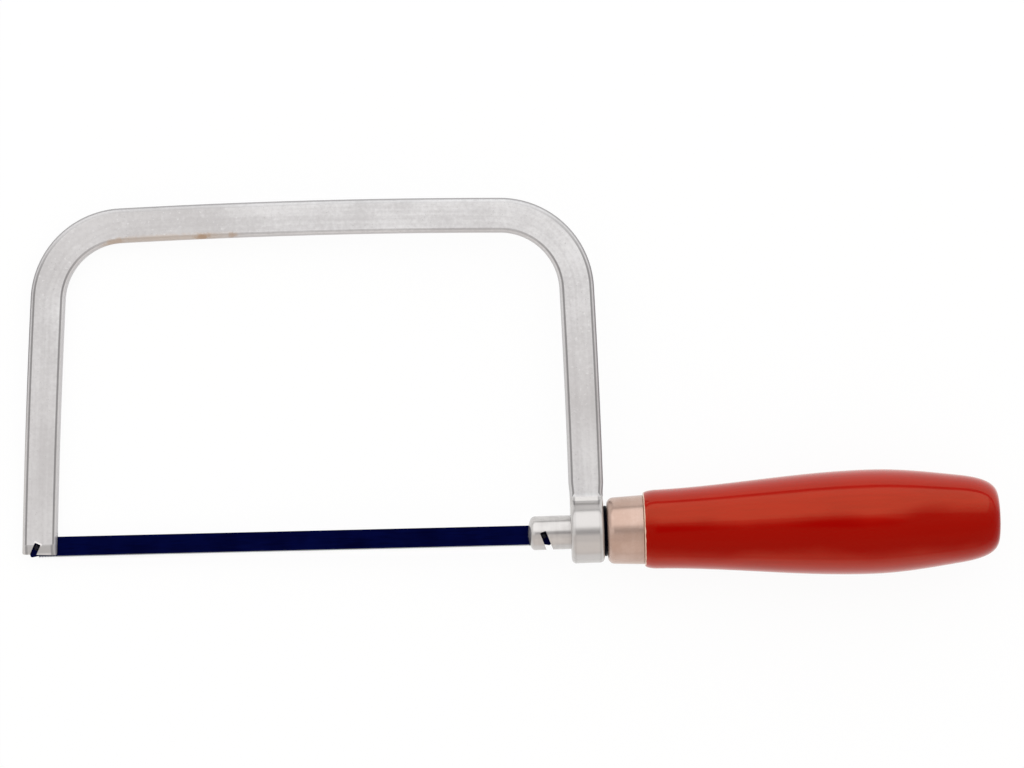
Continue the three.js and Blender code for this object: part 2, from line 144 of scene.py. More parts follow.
# Draws a line from a lone vertex: (x, y) is a straight run, (x, y, degrees) an arc about that
# centre, anticlockwise, with the steps as a fourth number where the arc is long.
def drawLine(name, path, arcSteps=8):
    piece = addShape(name, "plane", size=1)
    work(piece, "EDIT")
    selectAll()
    bpy.ops.mesh.merge(type="CENTER")
    here = Vector((path[0][0], path[0][1], 0))
    bpy.ops.transform.translate(value=here)
    for step in path[1:]:
        if len(step) == 2:
            there = Vector((step[0], step[1], 0))
            extrude(there - here)
        else:
            centre, angle = Vector((step[0], step[1], 0)), math.radians(step[2])
            there = centre + Matrix.Rotation(angle, 3, "Z") @ (here - centre)
            steps = step[3] if len(step) > 3 else arcSteps
            # spin turns clockwise about +z
            bpy.ops.mesh.spin(steps=steps, angle=angle, center=centre, axis=(0, 0, -1))
        here = there
    return piece


def turnRound(piece, steps=96):       # spins a drawn profile about the screw axis
    work(piece, "EDIT")
    selectAll()
    bpy.ops.mesh.spin(steps=steps, angle=2 * math.pi, center=(0, 0, 0), axis=(1, 0, 0))
    weldUp()
    return piece


def thicken(piece, thickness):        # a drawn outline becomes a plate about z = 0
    work(piece, "EDIT")
    selectAll()
    bpy.ops.mesh.edge_face_add()
    bpy.ops.transform.translate(value=(0, 0, -thickness / 2))
    extrude((0, 0, thickness))
    weldUp()
    return piece


def pinNotch(place, slant, pull, run, depth):   # a slanted flat-topped notch, open downwards
    half, top, corner = saw["notchWidth"] / 2, saw["notchTop"], saw["notchCorner"]
    path = [(-half, -run), (-half, top - corner), (corner - half, top - corner, -90, 4),
            (half - corner, top), (half - corner, top - corner, -90, 4), (half, -run)]
    notch = thicken(drawLine("notchCutter", path), depth)
    work(notch)
    notch.rotation_euler.z = math.radians(slant)
    notch.location = (place[0] - pull * saw["notchPlay"], place[1], 0)
    settle()
    return notch


def slit(fromX, toX, fromY, toY):     # a saw cut in the plane of the blade
    size = (toX - fromX, toY - fromY, saw["slitWidth"])
    middle = ((fromX + toX) / 2, (fromY + toY) / 2, 0)
    return addShape("slitCutter", "cube", size, size=1, location=middle)


# A finished piece goes to the bench in metres, on its body, in place of its solid
def layDown(piece, body, node, material, smooth=32):
    work(piece)
    piece.matrix_world = bench
    settle()
    bpy.ops.object.shade_smooth_by_angle(angle=math.radians(smooth))
    apply(piece, "WEIGHTED_NORMAL", keep_sharp=True, weight=60)
    piece.data.materials.clear()
    piece.data.materials.append(material)
    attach(piece, body)
    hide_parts(node)
    print(piece.name, "done:", len(piece.data.polygons), "faces")


class Paint:                          # one shader socket; sums on it add Math nodes
    def __init__(self, tree, socket=None):
        self.tree = tree
        self.socket = socket

    def node(self, kind, settings=None, sockets=None, out=0):
        added = self.tree.nodes.new("ShaderNode" + kind)
        for name, value in (settings or {}).items():
            setattr(added, name, value)
        for name, value in (sockets or {}).items():
            if isinstance(value, Paint):
                self.tree.links.new(value.socket, added.inputs[name])
            else:
                added.inputs[name].default_value = value
        return Paint(self.tree, added.outputs[out]) if added.outputs else None

    def maths(self, operation, first, second):
        return self.node("Math", {"operation": operation}, {0: first, 1: second})

    def __add__(self, other):
        return self.maths("ADD", self, other)

    __radd__ = __add__

    def __sub__(self, other):
        return self.maths("SUBTRACT", self, other)

    def __rsub__(self, other):
        return self.maths("SUBTRACT", other, self)

    def __mul__(self, other):
        return self.maths("MULTIPLY", self, other)

    __rmul__ = __mul__

    def __truediv__(self, other):
        return self.maths("DIVIDE", self, other)

    def __rtruediv__(self, other):
        return self.maths("DIVIDE", other, self)

    def __abs__(self):
        return self.maths("ABSOLUTE", self, 0.0)

    def least(self, other):
        return self.maths("MINIMUM", self, other)

    def most(self, other):
        return self.maths("MAXIMUM", self, other)

    def root(self):
        return self.maths("POWER", self, 0.5)

    def rise(self, low, high):        # 0 at low, 1 at high, eased
        return self.node("MapRange", {"interpolation_type": "SMOOTHSTEP"},
                         {"Value": self, "From Min": low, "From Max": high})

    def band(self, start, full, fade, end):   # 1 from full to fade, 0 before start and after end
        return self.rise(start, full) * (1 - self.rise(fade, end))

    def between(self, first, second):   # this mask mixes two colours
        return self.node("Mix", {"data_type": "RGBA"}, {0: self, 6: first, 7: second}, 2)

    def stretched(self, scale):
        return self.node("VectorMath", {"operation": "MULTIPLY"}, {0: self, 1: scale})

    def noise(self, scale, detail=2.0, roughness=0.5):
        return self.node("TexNoise", None,
                         {"Vector": self, "Scale": scale, "Detail": detail, "Roughness": roughness})

    def parts(self):
        first = self.node("SeparateXYZ", None, {"Vector": self})
        return [Paint(self.tree, output) for output in first.socket.node.outputs]


def srgb(red, green, blue):           # a colour as seen, 0 to 255, as a linear one
    def linear(value):
        share = value / 255
        return share / 12.92 if share <= 0.04045 else ((share + 0.055) / 1.055) ** 2.4
    return (linear(red), linear(green), linear(blue), 1.0)


def emptyTree(owner):                 # a material or world, without its first nodes
    owner.use_nodes = True
    owner.node_tree.nodes.clear()
    return Paint(owner.node_tree)


def newMaterial(name):                # an empty material and the place on the saw, in millimetres
    material = bpy.data.materials.new(name)
    start = emptyTree(material)
    place = start.node("TexCoord", None, None, "Object")
    onSaw = start.node("Mapping", {"vector_type": "TEXTURE"},
                       {"Vector": place, "Location": eyeCentre, "Rotation": (0, -lieAngle, 0),
                        "Scale": (millimetre, millimetre, millimetre)})
    return material, start, onSaw


def closeMaterial(start, colour, roughness, height, bump, fixed, paintedShadeMix=None):
    relief = start.node("Bump", None, {"Height": height, "Strength": bump["strength"],
                                       "Distance": bump["depth"] * millimetre})
    sockets = {"Base Color": colour, "Roughness": roughness, "Normal": relief}
    sockets.update(fixed)
    shader = start.node("BsdfPrincipled", None, sockets)
    if paintedShadeMix:                        # a mask, and what is different under it
        mask, changes = paintedShadeMix
        wornAndShaded = start.node("BsdfPrincipled", None, {**sockets, **changes})
        shader = start.node("MixShader", None, {0: mask, 1: shader, 2: wornAndShaded})
    start.node("OutputMaterial", None, {"Surface": shader})


def mixedTone(look, noises, dark, pale):   # the noises in their shares, as a colour
    tone = sum(noise * share for noise, share in zip(noises, look["shares"]))
    return tone.rise(*look["tone"]).between(dark, pale)


# In the looks a noise is its size, detail and roughness, two lengths are where a mask starts and
# is full, and four are where a band starts, is full, fades and ends, in millimetres on the saw.
steelLook = {
    "pale": srgb(225, 225, 226),
    "grey": srgb(198, 197, 198),
    "clouds": (0.06, 3.0),
    "mottle": (0.9, 4.0, 0.6),
    "streaks": (0.7, 3.0),
    "streakPull": 0.02,
    "shares": (0.4, 0.3, 0.3),        # of clouds, mottle and streaks
    "tone": (0.36, 0.64),
    "darkerGrey": srgb(186, 183, 183),      # the legs and the front corner
    "darkerShare": 0.42,
    "darkerBelow": (22.0, 84.0),
    "darkerBefore": (-125.0, -70.0),
    "darkerAbove": (62.0, 84.0),
    "rearFrom": (-60.0, -30.0),
    "rearMore": 1.2,                  # the rear leg is darker, but not the neck over the eye
    "neckBelow": (18.0, 42.0),
    "neckLess": 0.45,
    "line": (1.93, 2.04, 2.132, 2.1446),   # painted reflection: a dark line where the flats round over
    "paintedReflectionLine": srgb(112, 110, 111),
    "lineShare": 0.8,
    "lineFade": (74.0, 96.0),         # strong on the legs, faint along the back
    "lineFaded": 0.8,
    "burrHighlight": srgb(240, 238, 237),
    "burrSpan": (-0.6, 0.0, 0.3, 0.6),
    "burrPast": (0.1, 0.4),
    "pit": srgb(150, 150, 150),
    "pits": (2.6, 2.0),
    "pitEdge": (0.69, 0.76),
    "pitShare": 0.7,
    "fine": (5.0, 2.0),
    "mottleRelief": 0.6,
    "pitRelief": -1.5,
    "roughness": 0.42,
    "mottleRoughness": 0.08,
    "rustRoughness": 0.2,
    "metallic": 0.25,
    "bump": {"strength": 0.25, "depth": 0.02},
}

rimShadeLook = {                           # painted shade on the bar's rounded rims
    "inner": srgb(197, 196, 197),
    "outer": srgb(126, 122, 125),
    "outerFrom": (0.5, 1.5),
    "foot": srgb(200, 197, 195),
    "footUpTo": (15.0, 55.0),
    "frontUpTo": (-100.0, -90.0),
    "back": srgb(154, 152, 153),
    "backFrom": (70.0, 90.0),
    "height": (1.45, 2.02),
    "edge": srgb(120, 118, 119),      # painted shade on the outermost edge of the bar
    "edgeHeight": (0.9, 1.35),
    "edgeShare": 0.8,
}

speckLook = {                         # pale specks on the flat
    "pale": srgb(242, 242, 243),
    "share": 0.4,
    "small": (1.0, 3.0),
    "smallEdge": (0.6, 0.74),
    "large": (0.35, 3.0),
    "largeEdge": (0.6, 0.75),
    "largeShare": 0.6,
    "frontUpTo": (-120.0, -60.0),
    "frontFrom": (55.0, 80.0),
    "rearFrom": (-45.0, -30.0),
    "rearSpan": (20.0, 40.0, 70.0, 80.0),
    "rearShare": 0.8,
    "flat": (2.1, 2.14),
}

footLook = {                          # the tapered end of the front leg, with painted shade and painted reflections
    "legUpTo": (-149.0, -148.0),
    "tip": (1.2, 2.0),
    "tipFrom": (-0.95, -0.5),
    "tipWidth": (3.2, 3.8),
    "tipShade": srgb(166, 164, 163),
    "tipShare": 0.8,
    "line": (3.2, 3.5, 3.9, 4.2),
    "innerLine": (3.3, 3.9),
    "innerShare": 0.5,
    "lineShare": 0.7,
    "bladeShade": srgb(96, 96, 110),  # painted reflection of the dark blade, on the leg's edge that faces it
    "bladeSide": (4.2, 4.9),
    "bladeUpTo": (3.5, 4.2),
    "bladeShare": 0.7,
}

eyeLook = {                           # the neck and the eye, turned and polished
    "turned": srgb(197, 194, 192),
    "from": (-9.0, -7.5),
    "neckEnd": (9.7, 10.5),
    "sideLine": (3.1, 3.45, 3.7, 4.05),   # the painted reflection line goes on down the neck and the eye
    "sideShare": 0.15,
    "neckFrom": (7.6, 8.6),
    "neckShare": 0.5,
    "crease": (7.5, 7.96, 8.14, 8.6),     # painted shade in the crease between neck and eye
    "creaseEnd": (3.4, 4.0),
    "creaseShade": srgb(120, 116, 114),
    "creaseShare": 0.5,
    "smoother": 0.26,
    "metallic": 0.45,
}

rustLook = {                          # on the inner rim of the back, at its front end
    "stain": srgb(194, 176, 158),
    "stainShare": 0.5,
    "stained": (-138.0, -134.0, -106.0, -94.0),
    "stainEdge": (0.3, 1.2),
    "rust": srgb(170, 138, 108),
    # place along the saw, length and strength
    "spots": [(-132.5, 5.0, 0.35), (-107.2, 3.6, 0.75), (-98.6, 1.6, 0.55)],
    "spotEdge": (0.25, 1.0),
    "rim": (-4.3, 1.3),               # middle and reach across the bar
    "side": (1.7, 1.5),               # middle and reach through its thickness
    "ragged": (0.7, 4.0, 0.65),
    "raggedReach": 1.8,
    "above": (76.0, 84.0),
}

# the bar's middle line, near enough to tell its outer side from its inner side
barLine = {
    "frontLean": 0.0524,
    "frontBow": 0.00021,
    "rearBow": 0.0002,
    "neckTop": 14.0,
    "backTop": 92.79,
    "backCrown": -88.4,
    "backBow": 4046.0,
}


def acrossBar(x, y):                  # how far a place lies outwards from the middle line
    line, radius = barLine, bar["cornerRadius"]
    run = y - bar["foot"][1]
    aboveNeck = (y - line["neckTop"]).most(0.0)
    fromCrown = x - line["backCrown"]
    front = run * line["frontLean"] + run * run * line["frontBow"] + bar["foot"][0] - x
    rear = x + aboveNeck * aboveNeck * line["rearBow"]
    back = y - line["backTop"] + fromCrown * fromCrown / line["backBow"]

    def corner(leg):
        first, second = (leg + radius).most(0.0), (back + radius).most(0.0)
        return (first * first + second * second).root() - radius

    return corner(front).most(corner(rear))


def barTone(place, across, mottle):   # clouds, and streaks along the bar; the legs are darker
    look = steelLook
    x, y = place.parts()[:2]
    along = place.node("CombineXYZ", None, {"X": across, "Y": (x - y) * look["streakPull"]})
    noises = (place.noise(*look["clouds"]), mottle, along.noise(*look["streaks"]))
    colour = mixedTone(look, noises, look["grey"], look["pale"])
    more = y.rise(*look["neckBelow"]) * look["rearMore"] - look["neckLess"]
    legs = (1 - y.rise(*look["darkerBelow"])) * (1 + x.rise(*look["rearFrom"]) * more)
    corner = (1 - x.rise(*look["darkerBefore"])) * y.rise(*look["darkerAbove"])
    return (legs.most(corner) * look["darkerShare"]).between(colour, look["darkerGrey"])


def paleSpecks(place, colour):        # near the front corner and down the rear leg
    look = speckLook
    x, y, z = place.parts()
    small = place.noise(*look["small"]).rise(*look["smallEdge"])
    large = place.noise(*look["large"]).rise(*look["largeEdge"]) * look["largeShare"]
    onFront = (1 - x.rise(*look["frontUpTo"])) * y.rise(*look["frontFrom"])
    onRear = x.rise(*look["rearFrom"]) * y.band(*look["rearSpan"]) * look["rearShare"]
    specks = small.most(large) * (onFront + onRear) * abs(z).rise(*look["flat"])
    return (specks * look["share"]).between(colour, look["pale"])


def paintRimShade(x, y, across, height, colour):   # painted shade: the outer rims are darker than the inner ones
    look = rimShadeLook
    outer = across.rise(*look["outerFrom"])
    frontFoot = (1 - y.rise(*look["footUpTo"])) * (1 - x.rise(*look["frontUpTo"]))
    rim = frontFoot.between(look["outer"], look["foot"])
    rim = y.rise(*look["backFrom"]).between(rim, look["back"])
    rim = outer.between(look["inner"], rim)
    colour = (1 - height.rise(*look["height"])).between(colour, rim)
    edge = (1 - height.rise(*look["edgeHeight"])) * outer * look["edgeShare"]
    return edge.between(colour, look["edge"])


def footMarks(x, y, colour):
    look = footLook
    onLeg = 1 - x.rise(*look["legUpTo"])
    onFoot = onLeg * (1 - y.rise(*look["tip"]))
    inward = x - bar["foot"][0]
    aside = abs(inward)
    # painted shade on the tapered tip
    tip = onFoot * y.rise(*look["tipFrom"]) * (1 - aside.rise(*look["tipWidth"]))
    colour = (tip * look["tipShare"]).between(colour, look["tipShade"])
    # painted reflection lines on the foot
    line = aside.band(*look["line"]) + inward.rise(*look["innerLine"]) * look["innerShare"]
    line = (line * onFoot).least(1.0) * look["lineShare"]
    colour = line.between(colour, steelLook["paintedReflectionLine"])
    # painted reflection of the blade on the leg's inner edge
    shade = inward.rise(*look["bladeSide"]) * onLeg * (1 - y.rise(*look["bladeUpTo"]))
    return (shade * look["bladeShare"]).between(colour, look["bladeShade"])


def eyeMarks(x, y, onEye, colour):
    look = eyeLook
    colour = onEye.between(colour, look["turned"])
    share = look["sideShare"] + y.rise(*look["neckFrom"]) * look["neckShare"]
    # painted reflection lines down the sides of the neck and the eye
    sides = abs(x).band(*look["sideLine"]) * onEye * share
    colour = sides.between(colour, steelLook["paintedReflectionLine"])
    # painted shade in the crease where the neck meets the eye
    seam = y.band(*look["crease"]) * (1 - abs(x).rise(*look["creaseEnd"])) * onEye
    return (seam * look["creaseShare"]).between(colour, look["creaseShade"])


def notchBurrHighlight(x, y):                  # painted highlight on the burr raised along the top of the front notch
    look = steelLook
    slant = math.radians(bar["notchSlant"])
    right, up = x - saw["frontPin"][0] + saw["notchPlay"], y - saw["frontPin"][1]
    across = right * math.cos(slant) + up * math.sin(slant)
    along = up * math.cos(slant) - right * math.sin(slant)
    onTop = (along - saw["notchTop"]).band(*look["burrSpan"])
    return onTop * (1 - (abs(across) - saw["notchWidth"] / 2).rise(*look["burrPast"]))


def rustMarks(place, across):         # masks of the stain and of the rust in it
    look = rustLook
    x, y, z = place.parts()
    ragged = (place.noise(*look["ragged"]) - 0.5) * look["raggedReach"]
    fromRim = (across - look["rim"][0]) / look["rim"][1]
    fromSide = (z - look["side"][0]) / look["side"][1]
    depth = fromRim * fromRim + fromSide * fromSide
    onBack = y.rise(*look["above"])
    spots = 0.0
    for middle, reach, strength in look["spots"]:
        aside = (x - middle) / reach
        blot = (aside * aside + depth).root() + ragged
        spots = spots + (1 - blot.rise(*look["spotEdge"])) * strength
    stained = x.band(*look["stained"]) * (1 - (depth.root() + ragged).rise(*look["stainEdge"]))
    return stained * onBack, spots * onBack


def frameSteel():                     # satin plated bar with specks and a few rust stains, with shade and reflections painted on its rims
    look = steelLook
    material, start, place = newMaterial("satinBar")
    x, y, z = place.parts()
    height, across = abs(z), acrossBar(x, y)
    mottle = place.noise(*look["mottle"])
    onEye = (1 - y.rise(*eyeLook["neckEnd"])) * x.rise(*eyeLook["from"])
    colour = paleSpecks(place, barTone(place, across, mottle))
    colour = paintRimShade(x, y, across, height, colour)
    # painted reflection of the dim opening overhead, along the start of each rounding
    line = height.band(*look["line"]) * (1 - y.rise(*look["lineFade"]) * look["lineFaded"])
    line = line * (1 - onEye) * y.rise(*footLook["tip"])
    colour = (line * look["lineShare"]).between(colour, look["paintedReflectionLine"])
    colour = footMarks(x, y, colour)
    colour = eyeMarks(x, y, onEye, colour)
    colour = notchBurrHighlight(x, y).between(colour, look["burrHighlight"])
    pits = place.noise(*look["pits"]).rise(*look["pitEdge"])
    colour = (pits * look["pitShare"]).between(colour, look["pit"])
    stains, rust = rustMarks(place, across)
    colour = (stains * rustLook["stainShare"]).between(colour, rustLook["stain"])
    colour = rust.least(1.0).between(colour, rustLook["rust"])
    roughness = look["roughness"] + mottle * look["mottleRoughness"] - onEye * eyeLook["smoother"]
    roughness = roughness + rust * look["rustRoughness"]
    relief = place.noise(*look["fine"]) + mottle * look["mottleRelief"] + pits * look["pitRelief"]
    closeMaterial(start, colour, roughness, relief, look["bump"],
                  {"Metallic": look["metallic"] + onEye * eyeLook["metallic"]})
    return material


turnedLook = {
    "pale": srgb(203, 200, 198),
    "grey": srgb(190, 187, 185),
    "rings": (1.2, 3.0, 0.6),
    "ringPull": (1.0, 0.02, 0.02),
    "clouds": (0.25, 3.0),
    "shares": (0.3, 0.7),             # of rings and clouds
    "tone": (0.38, 0.62),
    "roughness": (0.16, 0.08),        # least, and how much the clouds add
    "metallic": 0.7,
    "bump": {"strength": 0.2, "depth": 0.02},
}


def holderSteel():                    # turned steel with fine rings round the axis
    look = turnedLook
    material, start, place = newMaterial("turnedSteel")
    rings = place.stretched(look["ringPull"]).noise(*look["rings"])
    clouds = place.noise(*look["clouds"])
    colour = mixedTone(look, (rings, clouds), look["grey"], look["pale"])
    roughness = look["roughness"][0] + clouds * look["roughness"][1]
    closeMaterial(start, colour, roughness, clouds, look["bump"], {"Metallic": look["metallic"]})
    return material


bladeLook = {
    "navy": srgb(5, 11, 61),
    "black": srgb(3, 5, 44),
    "clouds": (0.12, 3.0),
    "streaks": (4.0, 3.0),
    "streakPull": (0.05, 1.0, 1.0),
    "shares": (0.5, 0.5),             # of clouds and streaks
    "tone": (0.35, 0.65),
    "bare": srgb(110, 114, 130),
    "bareFrom": (-2.95, -2.6),
    "wear": (0.5, 3.0),
    "wearEdge": (0.4, 0.7),
    "wearShare": 0.15,
    "roughness": (0.36, 0.16),        # least, and how much the streaks add
    "bump": {"strength": 0.15, "depth": 0.01},
}


def bladeSteel():                     # blackened blade, worn bright at the points of its teeth
    look = bladeLook
    material, start, place = newMaterial("blackenedBlade")
    x, y = place.parts()[:2]
    clouds = place.noise(*look["clouds"])
    streaks = place.stretched(look["streakPull"]).noise(*look["streaks"])
    colour = mixedTone(look, (clouds, streaks), look["black"], look["navy"])
    drop = (x - saw["frontPin"][0]) * math.tan(math.radians(-blade["tilt"]))
    fromMiddle = y - saw["frontPin"][1] + drop
    wornAndShaded = place.noise(*look["wear"]).rise(*look["wearEdge"]) * look["wearShare"]
    wornAndShaded = wornAndShaded * (1 - fromMiddle.rise(*look["bareFrom"]))
    colour = wornAndShaded.between(colour, look["bare"])
    roughness = look["roughness"][0] + streaks * look["roughness"][1]
    closeMaterial(start, colour, roughness, streaks, look["bump"], {"Metallic": 1.0})
    return material


pinLook = {"dark": srgb(24, 24, 30), "pale": srgb(58, 58, 66), "roughness": 0.35, "grain": 2.0}
washerLook = {"dark": srgb(2, 2, 10), "pale": srgb(9, 9, 22), "roughness": 0.5, "grain": 1.5}
nutLook = {"dark": srgb(150, 152, 156), "pale": srgb(196, 198, 204), "roughness": 0.34, "grain": 1.2}

fittingLook = {                       # what the small fittings share
    "grain": (3.0, 0.6),
    "clouds": 2.0,
    "cloudSize": 0.2,
    "shares": (0.4, 0.6),             # of grain and clouds
    "tone": (0.35, 0.65),
    "grainRoughness": 0.15,
    "bump": {"strength": 0.2, "depth": 0.02},
}


def fittingMetal(name, own):          # pins, washer and nut
    look = fittingLook
    material, start, place = newMaterial(name)
    grain = place.noise(own["grain"], *look["grain"])
    clouds = place.noise(own["grain"] * look["cloudSize"], look["clouds"])
    colour = mixedTone(look, (grain, clouds), own["dark"], own["pale"])
    roughness = own["roughness"] + grain * look["grainRoughness"]
    closeMaterial(start, colour, roughness, grain, look["bump"], {"Metallic": 1.0})
    return material


ferruleLook = {
    "pale": srgb(199, 173, 160),
    "rose": srgb(186, 158, 144),
    "clouds": (0.15, 3.0),
    "rings": (0.9, 3.0, 0.6),
    "ringPull": (1.0, 0.03, 0.03),
    "grain": (2.0, 3.0),
    "shares": (0.6, 0.15, 0.25),      # of clouds, rings and grain
    "tone": (0.36, 0.64),
    "roughness": (0.17, 0.1),         # least, and how much the grain adds
    "grainRelief": 0.5,
    "metallic": 0.7,
    "bump": {"strength": 0.25, "depth": 0.02},
}


def ferruleMetal():                   # rosy satin cap, drawn and polished round its axis
    look = ferruleLook
    material, start, place = newMaterial("rosyCap")
    clouds = place.noise(*look["clouds"])
    rings = place.stretched(look["ringPull"]).noise(*look["rings"])
    grain = place.noise(*look["grain"])
    colour = mixedTone(look, (clouds, rings, grain), look["rose"], look["pale"])
    roughness = look["roughness"][0] + grain * look["roughness"][1]
    closeMaterial(start, colour, roughness, clouds + grain * look["grainRelief"], look["bump"],
                  {"Metallic": look["metallic"]})
    return material


lacquerLook = {
    "deep": srgb(160, 2, 0),
    "bright": srgb(169, 5, 1),
    "grain": (0.9, 4.0, 0.6),
    "grainPull": (0.03, 1.0, 1.0),
    "clouds": (0.04, 2.0),
    "shares": (0.6, 0.4),             # of grain and clouds
    "tone": (0.36, 0.64),
    "pore": srgb(144, 1, 0),
    "pores": (2.6, 2.0),
    "porePull": (0.07, 1.0, 1.0),
    "poreEdge": (0.66, 0.74),
    "poreShare": 0.25,
    "lip": srgb(232, 200, 178),       # bare edge of the lacquer at the ferrule
    "lipNoise": (0.5, 2.0),
    "lipReach": 0.5,
    "lipEdge": (-0.1, 0.12),
    "paintedShadeRed": srgb(147, 1, 0),     # painted shade: a darker, less glossy band along the grip, just below its middle
    "paintedShadeSpan": (-8.5, -4.5, 0.0, 4.0),
    "paintedShadeWander": 6.0,
    "swell": 0.005,                   # the grip grows this much thicker along its length
    "paintedShadeTone": 0.8,
    "paintedShadeMix": 0.85,
    "paintedShadeGloss": 0.06,
    "ripple": (0.35, 2.0),
    "grainRelief": 0.1,
    "poreRelief": 0.2,
    "roughness": (0.05, 0.06),        # least, and how much the clouds add
    # the lacquer's reflections are warm
    "gloss": {"Specular Tint": (1.0, 0.72, 0.36, 1.0), "Specular IOR Level": 0.5,
              "Sheen Weight": 0.6, "Sheen Roughness": 0.25, "Sheen Tint": (1.0, 0.7, 0.6, 1.0)},
    "bump": {"strength": 0.08, "depth": 0.05},
}


def handleLacquer():                  # red lacquer over turned wood, the grain just showing
    look = lacquerLook
    material, start, place = newMaterial("redLacquer")
    x, y = place.parts()[:2]
    grain = place.stretched(look["grainPull"]).noise(*look["grain"])
    pores = place.stretched(look["porePull"]).noise(*look["pores"]).rise(*look["poreEdge"])
    clouds = place.noise(*look["clouds"])
    colour = mixedTone(look, (grain, clouds), look["deep"], look["bright"])
    colour = (pores * look["poreShare"]).between(colour, look["pore"])
    edge = grip["shoulder"][0] + place.noise(*look["lipNoise"]) * look["lipReach"]
    lip = 1 - (x - edge).rise(*look["lipEdge"])
    colour = lip.between(colour, look["lip"])
    girth = 1 + (x - grip["neck"][0]) * look["swell"]
    # painted shade: the grip is darker and less glossy in a band just below its middle
    paintedShadeBand = (y / girth + (clouds - 0.5) * look["paintedShadeWander"]).band(*look["paintedShadeSpan"])
    colour = (paintedShadeBand * (1 - lip) * look["paintedShadeTone"]).between(colour, look["paintedShadeRed"])
    relief = place.noise(*look["ripple"]) + grain * look["grainRelief"] - pores * look["poreRelief"]
    roughness = look["roughness"][0] + clouds * look["roughness"][1]
    closeMaterial(start, colour, roughness, relief, look["bump"], look["gloss"],
                  (paintedShadeBand * look["paintedShadeMix"], {"Specular IOR Level": look["paintedShadeGloss"]}))
    return material


bar = {
    "width": 9.95,
    "eyeWidth": 9.5,
    "thickness": 4.29,
    "edgeRound": 1.4,
    "roundSteps": 6,
    "cornerRadius": 22.0,
    "height": 92.35,
    "foot": (saw["frontPin"][0] + 0.73, saw["frontPin"][1] - 2.14),
    "frontLeg": (87.0, 85.3),         # headings at the start and end of each bowed run
    "back": (1.2, -2.0),
    "rearLeg": (-88.7, -90.0),
    "footTaper": 2.8,
    "footThickness": 3.4,
    "footRound": 0.5,
    "footSteps": 4,
    "slitTop": 4.88,
    "notchSlant": -26.5,
    "notchRun": 5.0,
    "eyeRadius": 9.05,
    "boreRadius": 4.95,
    "boreChamfer": 0.5,
    "neckFillet": 3.5,
    "filletSteps": 12,
    "eyeSteps": 96,
    "runSteps": 12,
    "cornerSteps": 36,
    "overrun": 3.0,                   # how far a cutter goes past the metal
    "seam": 0.03,                     # the eye is welded to the bar across this gap
}


def runOfBar(start, headings, radius):   # centre and end of a run that turns clockwise
    before, after = (math.radians(heading) for heading in headings)
    centre = Vector((start[0] + radius * math.sin(before), start[1] - radius * math.cos(before)))
    end = centre + Vector((-math.sin(after), math.cos(after))) * radius
    return centre, end


def planBar(neck):                    # each run bows so far that the bar ends at the neck
    corners = [(bar["frontLeg"][1], bar["back"][0]), (bar["back"][1], bar["rearLeg"][0])]
    reach = [runOfBar((0, 0), turn, bar["cornerRadius"])[1] for turn in corners]
    leg, back, rear = (runOfBar((0, 0), bar[run], 1.0)[1] for run in ("frontLeg", "back", "rearLeg"))
    legBow = (bar["height"] - bar["foot"][1] - reach[0].y) / leg.y
    across = neck - Vector(bar["foot"]) - legBow * leg - reach[0] - reach[1]
    across.y = neck.y - bar["height"] - reach[1].y
    turn = back.x * rear.y - back.y * rear.x
    backBow = (across.x * rear.y - across.y * rear.x) / turn
    rearBow = (back.x * across.y - back.y * across.x) / turn
    return [
        (bar["frontLeg"], legBow, bar["runSteps"]),
        (corners[0], bar["cornerRadius"], bar["cornerSteps"]),
        (bar["back"], backBow, bar["runSteps"]),
        (corners[1], bar["cornerRadius"], bar["cornerSteps"]),
        (bar["rearLeg"], rearBow, bar["runSteps"]),
    ]


def sweepBar(neck):                   # the bar's rounded section, spun along its five runs
    lean = math.radians(bar["frontLeg"][0] - 90)
    here = Vector(bar["foot"])
    along = Vector((-math.sin(lean), math.cos(lean)))
    piece = addShape("frameBar", "plane", (bar["width"], bar["thickness"], 1), size=1,
                     location=(here.x, here.y, 0), rotation=(math.pi / 2, 0, lean))
    work(piece, "EDIT")
    selectAll()
    bpy.ops.mesh.bevel(offset=bar["edgeRound"], segments=bar["roundSteps"], affect="VERTICES")
    for number, (headings, radius, steps) in enumerate(planBar(neck)):
        centre, here = runOfBar(here, headings, radius)
        pivot = (centre.x, centre.y, 0)
        turn = math.radians(headings[0] - headings[1])
        if number == 0:               # a short first step, where the foot tapers
            first = bar["footTaper"] / radius
            bpy.ops.mesh.spin(steps=1, angle=first, center=pivot, axis=(0, 0, 1))
            turn -= first
        bpy.ops.mesh.spin(steps=steps, angle=turn, center=pivot, axis=(0, 0, 1))
    print("bar ends", tuple(round(n, 3) for n in here), "for", tuple(round(n, 3) for n in neck))

    def atFoot(vertex):
        return (vertex.co.xy - Vector(bar["foot"])).dot(along) < saw["slack"]

    pick("VERT", atFoot)
    bpy.ops.transform.resize(value=(1, 1, bar["footThickness"] / bar["thickness"]),
                             center_override=(bar["foot"][0], bar["foot"][1], 0))
    pick("EDGE", lambda edge: all(atFoot(vertex) for vertex in edge.verts))
    bpy.ops.mesh.bevel(offset=bar["footRound"], segments=bar["footSteps"], affect="EDGES")
    pick("FACE", lambda face: all(near(vertex.co.y, neck.y) and vertex.co.x > -bar["width"]
                                  for vertex in face.verts))
    bpy.ops.mesh.delete(type="ONLY_FACE")
    return piece


